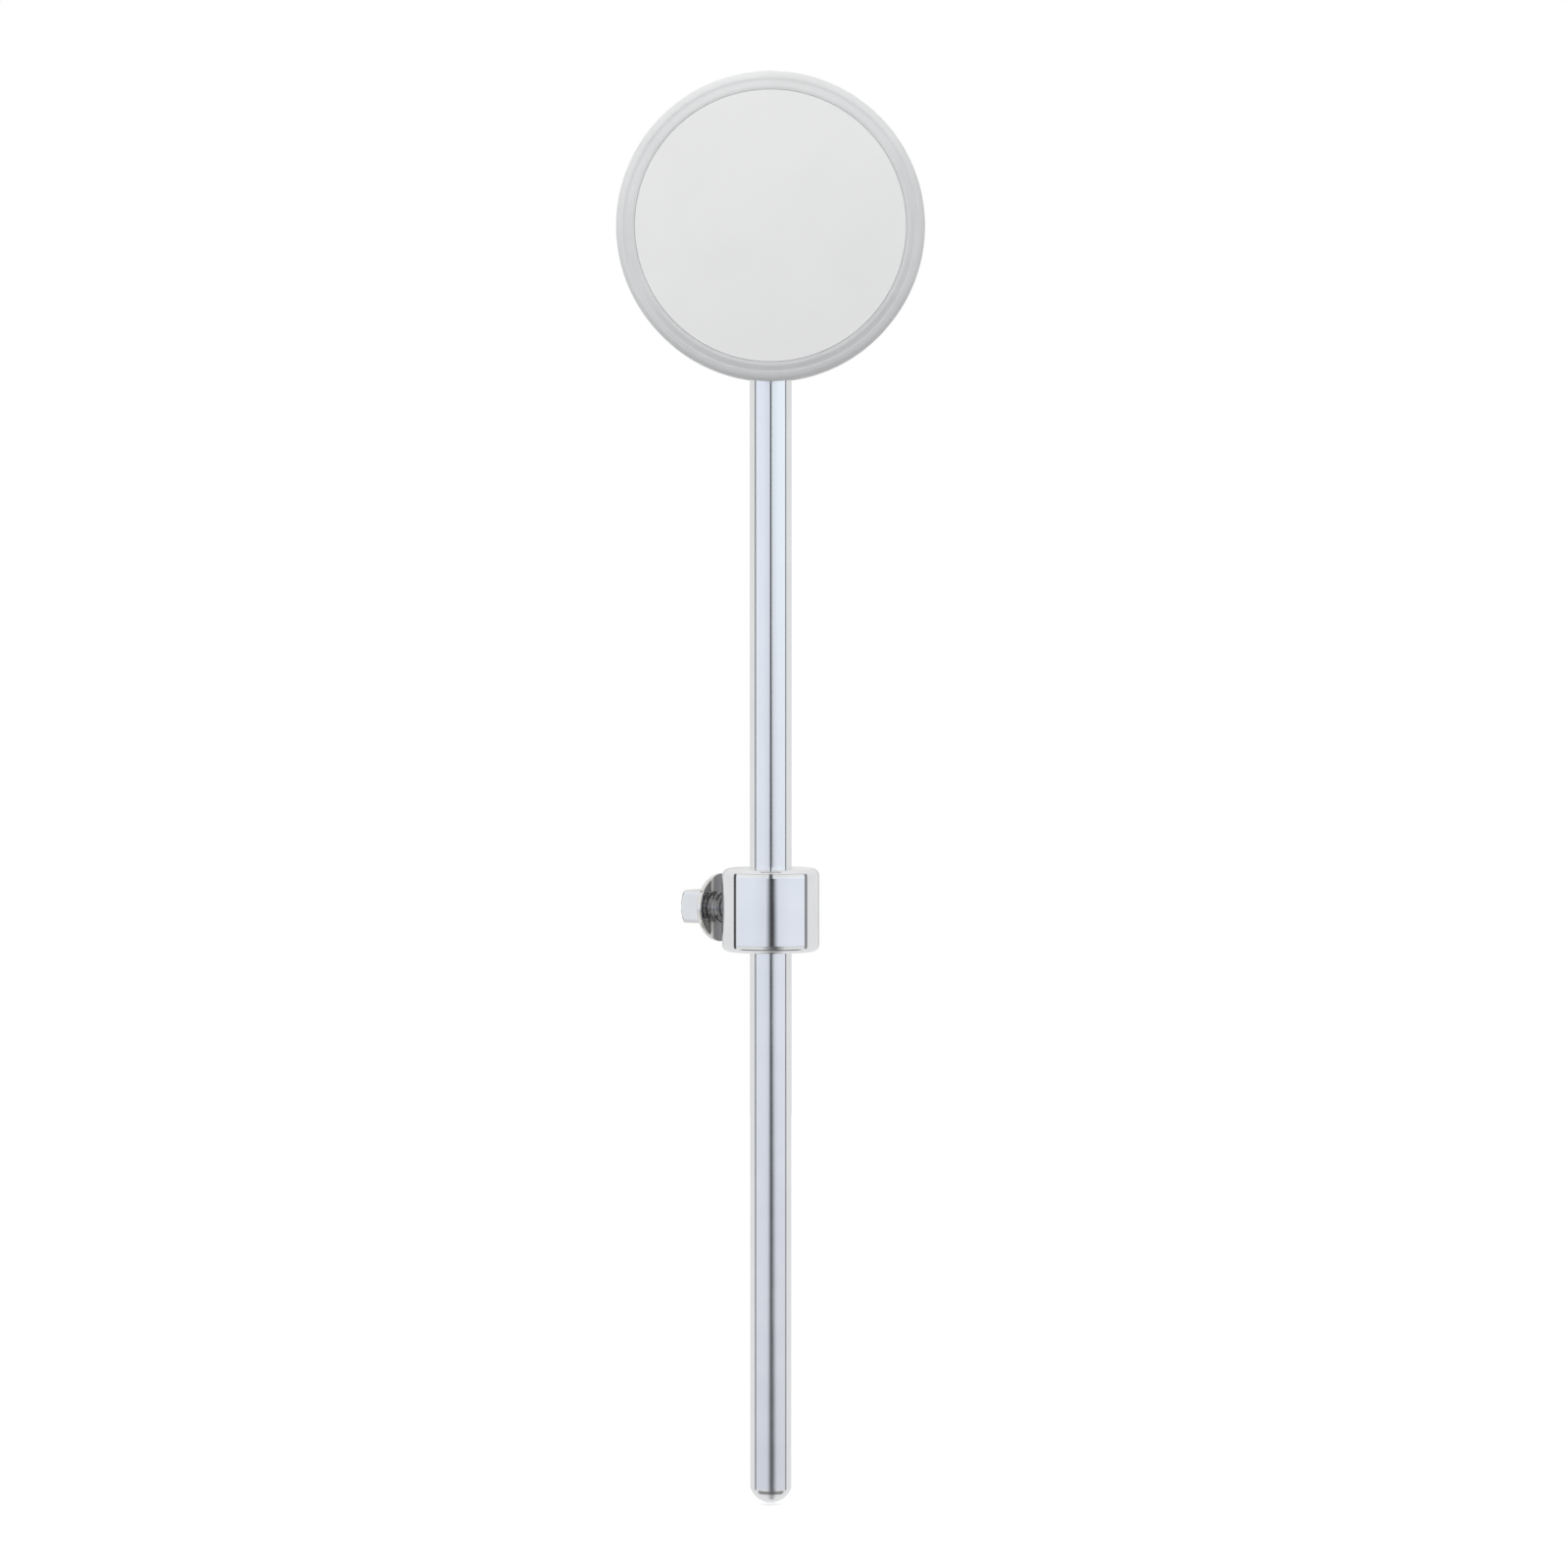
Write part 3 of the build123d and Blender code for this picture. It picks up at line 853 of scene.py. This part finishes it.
# %% Press the pad
FELT_CROWN, FELT_EDGE, FOOT_ROUND, ROW_GAP = 0.55, 2.1, 0.5, 0.5
BOTTOM_STEPS, TOP_STEPS = 30, 45
pad_edge_y = felt_top - FELT_CROWN
pad_crown_r = cap_radius(felt_r - 1.2, FELT_CROWN)
foot_r = felt_r * 0.98
bottom = [(foot_r * i / BOTTOM_STEPS, felt_back) for i in range(BOTTOM_STEPS + 1)]
pad_side = rounded(
    [
        (foot_r, felt_back, 0), (felt_r - 0.05, felt_back + 0.01, FOOT_ROUND),
        (felt_r, pad_edge_y, FELT_EDGE), (felt_r - 5, pad_edge_y, 0),
    ]
)
wall_rows = []
for (r0, y0), (r1, y1) in zip(pad_side, pad_side[1:]):
    parts = max(1, round(math.hypot(r1 - r0, y1 - y0) / ROW_GAP))
    wall_rows += [(r0 + (r1 - r0) * i / parts, y0 + (y1 - y0) * i / parts) for i in range(parts)]
wall_rows = [(r, y) for r, y in wall_rows if r > felt_r - FELT_EDGE - 0.1 or y < pad_edge_y - 0.5]
pad_top = []
for i in range(TOP_STEPS + 1):
    r = (felt_r - FELT_EDGE - 0.15) * (1 - i / TOP_STEPS)
    pad_top.append((r, felt_top - (pad_crown_r - math.sqrt(pad_crown_r**2 - r**2))))
holder = outline("pad_outline", bottom + wall_rows[1:] + pad_top)
run_tree(holder, lathe, Segments=240, Finish=wool)
run_tree(holder, pressing, Unevenness=0.55 * MM, Grain=260.0, Seat=felt_back * MM, Finish=wool)
pad = tidy_mesh(keep_mesh("felt_pad_pressed", holder), ON_HEAD, sharp=60)

# %% [markdown]
# ## Loose fibres
#
# Close up, felt is fuzzy. Distribute Points scatters seeds over the pad, and at each one stands a
# copy of a single bent fibre, turned and scaled at random from a fixed seed. A fibre has only a
# few faces, because it is repeated thousands of times. The copies are made real at the end, so
# that the fuzz can leave Blender with the rest.

# %% Build the fibre tree
FIBRE_BEND, FIBRE_TIP, FIBRE_R = (0.00025, 0, 0.00045), (0.0010, 0.0002, 0.00038), 0.000028
TIP_OVER, FULL_TURN, SHORTEST = 0.35, 6.283, 0.45
fuzz, dial = new_tree(
    "fuzz",
    [("Density", "Float"), ("Length", "Float"), ("Seed", "Int"), ("Seat", "Float"),
     ("Finish", "Material")],
)
spot = put(fuzz, "GeometryNodeInputPosition").outputs[0]
back_of_pad = put(fuzz, "ShaderNodeSeparateXYZ", {0: spot}).outputs[1]
free_skin = sums(fuzz, "GREATER_THAN", back_of_pad, dial["Seat"])
seeds = put(
    fuzz, "GeometryNodeDistributePointsOnFaces",
    {"Mesh": dial["Geometry"], "Selection": free_skin, "Density": dial["Density"],
     "Seed": dial["Seed"]},
)
strand = put(
    fuzz, "GeometryNodeCurveQuadraticBezier",
    {"Resolution": 3, "Start": (0, 0, 0), "Middle": FIBRE_BEND, "End": FIBRE_TIP},
)
thin = put(fuzz, "GeometryNodeCurvePrimitiveCircle", {"Resolution": 3, "Radius": FIBRE_R})
fibre = put(
    fuzz, "GeometryNodeCurveToMesh",
    {"Curve": strand.outputs[0], "Profile Curve": thin.outputs[0], "Fill Caps": True},
)
spin = put(
    fuzz, "FunctionNodeRandomValue",
    {"Min": (-TIP_OVER, -TIP_OVER, 0), "Max": (TIP_OVER, TIP_OVER, FULL_TURN),
     "Seed": dial["Seed"]},
    data_type="FLOAT_VECTOR",
)
turned = put(
    fuzz, "FunctionNodeRotateRotation", {"Rotation": seeds.outputs["Rotation"]},
    rotation_space="LOCAL",
)
fuzz.links.new(spin.outputs[0], turned.inputs["Rotate By"])
grow = put(fuzz, "FunctionNodeRandomValue", {"Seed": dial["Seed"]}, data_type="FLOAT")
grow.inputs[2].default_value, grow.inputs[3].default_value = SHORTEST, 1.0
size = sums(fuzz, "MULTIPLY", grow.outputs[1], dial["Length"])
planted = put(
    fuzz, "GeometryNodeInstanceOnPoints",
    {"Points": seeds.outputs["Points"], "Instance": fibre.outputs[0],
     "Rotation": turned.outputs[0], "Scale": size},
)
close_tree(fuzz, planted.outputs[0], dial["Finish"])
print("fibre tree nodes", len(fuzz.nodes))

# %% Grow the fibres on the pad
holder = bpy.data.objects.new("fuzz_holder", pad.data.copy())
bpy.context.scene.collection.objects.link(holder)
run_tree(holder, fuzz, Density=3.2e6, Length=1.0, Seed=7, Seat=(felt_back + 1.2) * MM, Finish=wool)
fibres = keep_mesh("felt_fibres", holder)
for face in fibres.data.polygons:
    face.use_smooth = True
fibre_lo = min(v.co.y for v in fibres.data.vertices) / MM
fibre_hi = max(v.co.y for v in fibres.data.vertices) / MM
print("fibre faces", len(fibres.data.polygons), "y", round(fibre_lo, 2), "to", round(fibre_hi, 2))
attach(pad, "beater")
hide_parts("felt_pad")
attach(fibres, "beater")

# %% [markdown]
# ## The pieces inside the head
#
# The core, its washer, the lock nut with its nylon ring, and the rear plate are shut in by the
# ring and the faces. Their frame shapes are already right, so they stay and only get their
# finishes: assigning to an object's material slots never touches its mesh.

# %% Dress the inner nodes
INNER = {
    "head_core": core_white, "pad_plate": core_white, "flat_washer": zinc, "lock_nut": zinc,
    "nut_insert": clear_nylon,
}
for node, finish in INNER.items():
    for slot in frame["nodes"][node].material_slots:
        slot.material = finish
print("dressed", sorted(INNER))

# %% [markdown]
# ## Floor
#
# A plain pale floor, just under the domed end. It is a disc with an eased rim, wide enough for a
# soft shadow. Chrome shows whatever stands around it, and matt pieces pick up light from it, so the
# floor is hidden from glossy and diffuse rays. Only the tent and the softbox light the beater.

# %% Lay the floor
FLOOR_DROP, FLOOR_R, FLOOR_DEPTH, FLOOR_ROUND = 0.4, 900, 8, 2
holder = outline(
    "floor_outline",
    rounded(
        [
            (0, -FLOOR_DEPTH, 0), (FLOOR_R, -FLOOR_DEPTH, FLOOR_ROUND), (FLOOR_R, 0, FLOOR_ROUND),
            (0, 0, 0),
        ]
    ),
)
floor_finish, tree, shader = new_finish("pale_floor", (0.93, 0.93, 0.93), Roughness=0.8)
tree.links.new(spread(tree, noise(tree, 60, 4.0), 0.3, 0.7, 0.76, 0.84), shader.inputs["Roughness"])
cloud = spread(tree, noise(tree, 25, 5.0), 0.3, 0.7, 0, 1)
tint(tree, shader, cloud, (0.925, 0.925, 0.925), (0.94, 0.94, 0.94))
shader.inputs["Emission Color"].default_value = (1, 1, 1, 1)
shader.inputs["Emission Strength"].default_value = 0.45
run_tree(holder, lathe, Segments=128, Finish=floor_finish)
floor = tidy_mesh(keep_mesh("floor", holder), Matrix.Translation((0, 0, -FLOOR_DROP * MM)))
floor.visible_glossy = floor.visible_diffuse = False

# %% [markdown]
# ## Light
#
# Chrome has no colour of its own, so lighting it means arranging what it reflects. The world here
# is a white light tent: two pale panels in front, one each side of a narrow dark slot, thin dark
# seams where they end, and bright walls behind. It is described by directions in degrees, so soft
# ranges give soft edges.
#
# Bearing and rise are a direction's own angles, round from the front and up from level. A mirror
# has to face halfway between a light and the viewer to show that light, so side and lean are the
# angles of that halfway direction, doubled. An edge drawn at one side or lean reads straight on
# the rod and on the collar.

# %% Measure directions in degrees
world = bpy.data.worlds.new("light_tent")
bpy.context.scene.world = world
world.use_nodes = True
tree = world.node_tree
tree.nodes.clear()
do = partial(sums, tree)


def two_angles(direction):
    """A direction's angle round from the front, and its angle up from level, in degrees."""
    x, y, z = put(tree, "ShaderNodeSeparateXYZ", {0: direction}).outputs
    return do("DEGREES", do("ARCTAN2", x, do("MULTIPLY", y, -1.0))), do("DEGREES", do("ARCSINE", z))


def vector_math(operation, *vectors):
    """The result of one Vector Math node."""
    filled = dict(enumerate(vectors))
    return put(tree, "ShaderNodeVectorMath", filled, operation=operation).outputs[0]


directions = put(tree, "ShaderNodeTexCoord").outputs["Generated"]
bearing, rise = two_angles(directions)
halfway = vector_math("NORMALIZE", vector_math("ADD", directions, (0, -1, 0)))
side, lean = (do("MULTIPLY", angle, 2.0) for angle in two_angles(halfway))
wide = do("ABSOLUTE", side)
print("direction nodes", len(tree.nodes))

# %% Hang the walls and the two panels
def band(value, low, high, soft):
    """1 between low and high, with soft edges, and 0 outside."""
    enter = spread(tree, value, low - soft, low + soft, 0, 1)
    leave = spread(tree, value, high - soft, high + soft, 1, 0)
    return do("MULTIPLY", enter, leave)


def by_height(*stops):
    """Light that changes with height: (degrees above level, colour or grey) from low to high."""
    node = put(tree, "ShaderNodeValToRGB", {"Fac": spread(tree, rise, -90, 90, 0, 1)})
    ramp = node.color_ramp
    while len(ramp.elements) < len(stops):
        ramp.elements.new(1.0)
    for element, (degrees, light) in zip(ramp.elements, stops):
        element.position = (degrees + 90) / 180
        element.color = (*(light if isinstance(light, tuple) else (light,) * 3), 1)
    return node.outputs[0]


PANEL_TOP, PANEL_SIDE = 54, 88
walls = by_height(
    (-90, 0.78), (-54, 0.84), (-14, 0.84), (0, 0.82), (14, 0.84), (50, 0.88), (90, 0.92)
)
left_panel = by_height(
    (-54, 0.95), (-14, 0.74), (-7.7, (0.66, 0.69, 0.77)), (-6, (0.74, 0.77, 0.85)),
    (-4.2, (0.8, 0.835, 0.92)), (-2.4, (0.845, 0.905, 0.97)), (0.3, (0.87, 0.92, 1.03)),
    (4, (0.87, 0.92, 1.03)), (12, 0.9), (54, 0.92),
)
right_panel = by_height(
    (-54, 0.95), (-14, 0.74), (-7.7, (0.68, 0.685, 0.75)), (-6, (0.74, 0.745, 0.83)),
    (-4.2, (0.83, 0.845, 0.935)), (-2.4, (0.85, 0.915, 0.99)), (-1, (0.9, 0.97, 1.035)),
    (0.3, (0.95, 1.03, 1.11)), (4, (0.95, 1.03, 1.11)), (12, 0.9), (54, 0.92),
)
panels = blend(tree, spread(tree, bearing, -1, 1, 0, 1), left_panel, right_panel)
tall = band(lean, 2 - PANEL_TOP, PANEL_TOP, 1.5)
light = blend(tree, do("MULTIPLY", band(wide, -10, PANEL_SIDE, 1), tall), walls, panels)
print("panels reach", PANEL_SIDE, "degrees to each side and", PANEL_TOP, "up")

# %% [markdown]
# ### Seams and slot
#
# Chrome looks bright only beside something dark. A seam stands at the far edge of each panel, a
# strip runs above and below them, and a soft grey band lies behind. The slot between the panels
# is the dark line down the middle of the rod. It widens and swings aside below level, and it runs
# on, fainter, past the panels' ends, so that the line doesn't stop short on a rounded edge.

# %% Lay the dark strips and cut the slot
def dark_strip(light, shape, strength, shade):
    """Lays a dark strip over the light."""
    return blend(tree, do("MULTIPLY", shape, strength), light, (shade, shade, shade * 1.05))


light = dark_strip(light, band(wide, 152, 166, 4), 0.35, 0.25)
light = dark_strip(light, do("MULTIPLY", band(side, -98.5, -90, 0.8), tall), 0.95, 0.05)
light = dark_strip(light, do("MULTIPLY", band(side, 88, 97, 0.8), tall), 0.8, 0.1)
above_strip = band(lean, PANEL_TOP - 1, PANEL_TOP + 4, 1)
above = do("MULTIPLY", above_strip, band(wide, -10, PANEL_SIDE, 2))
below_strip = band(lean, -PANEL_TOP - 18, -PANEL_TOP + 3, 1.5)
below = do("MULTIPLY", below_strip, band(wide, -10, PANEL_SIDE - 10, 8))
light = dark_strip(light, do("ADD", above, below), 0.8, 0.1)

slot_half = spread(tree, rise, -7.5, -1, 17, 4)
slot_middle = spread(tree, rise, -7.5, -1, 7, 0.5)
off_centre = do("ABSOLUTE", do("SUBTRACT", side, slot_middle))
shoulders = do("MULTIPLY", spread(tree, off_centre, 14, 46, 1, 0), tall)
light = dark_strip(light, shoulders, 0.13, 0.3)
slot_dark = spread(tree, do("DIVIDE", off_centre, slot_half), 0.35, 1.65, 1, 0)
slot_depth = do("MULTIPLY", slot_dark, spread(tree, rise, -6, -3.4, 0.82, 0.95))
past_panels = do("MULTIPLY", band(lean, -110, 78, 6), 0.6)
light = dark_strip(light, do("MULTIPLY", slot_depth, do("MAXIMUM", tall, past_panels)), 1.0, 0.02)
print("light tent nodes", len(tree.nodes))

# %% [markdown]
# ### What is seen directly
#
# The camera itself sees plain white behind the beater, not the tent. The softbox is for the matt
# pieces: it hangs near the head, in front, above and to the left. Chrome would show it as a
# second spot, so it is hidden from glossy rays.

# %% Show plain white behind
seen = put(tree, "ShaderNodeLightPath").outputs["Is Camera Ray"]
light = blend(tree, seen, light, (1.0, 1.0, 1.0))
back = put(tree, "ShaderNodeBackground", {"Color": light, "Strength": 1.0})
tree.links.new(back.outputs[0], tree.nodes.new("ShaderNodeOutputWorld").inputs[0])
bpy.context.scene.view_settings.view_transform = "Standard"
print("world:", world.name)

# %% Hang the softbox
softbox = bpy.data.objects.new("softbox", bpy.data.lights.new("softbox", "AREA"))
bpy.context.scene.collection.objects.link(softbox)
softbox.data.shape, softbox.data.size, softbox.data.energy = "DISK", 0.4, 0.64
softbox.location = (-0.1, -0.34, 0.5)
to_head = Vector((0, 0, head_z * MM)) - softbox.location
softbox.rotation_euler = to_head.to_track_quat("-Z", "Y").to_euler()
softbox.visible_glossy = softbox.visible_camera = False
print("softbox at", [round(v, 2) for v in softbox.location])

# %% [markdown]
# ## Camera
#
# Small shiny things are taken from far away through a long lens, so that near and far parts keep
# their true sizes. The camera looks square on from 1.5 m, a little from above.

# %% Set the camera
DISTANCE, PITCH, LENS = 1.5, math.radians(2.4), 178.6
aim = Vector((0.00256, 0, 0.1392))
camera = bpy.data.objects.new("camera", bpy.data.cameras.new("camera"))
bpy.context.scene.collection.objects.link(camera)
camera.data.lens, camera.data.sensor_width = LENS, 36.0
camera.location = aim + DISTANCE * Vector((0, -math.cos(PITCH), math.sin(PITCH)))
camera.rotation_euler = (math.radians(90) - PITCH, 0, 0)
bpy.context.scene.camera = camera
print("camera at", [round(v, 3) for v in camera.location])
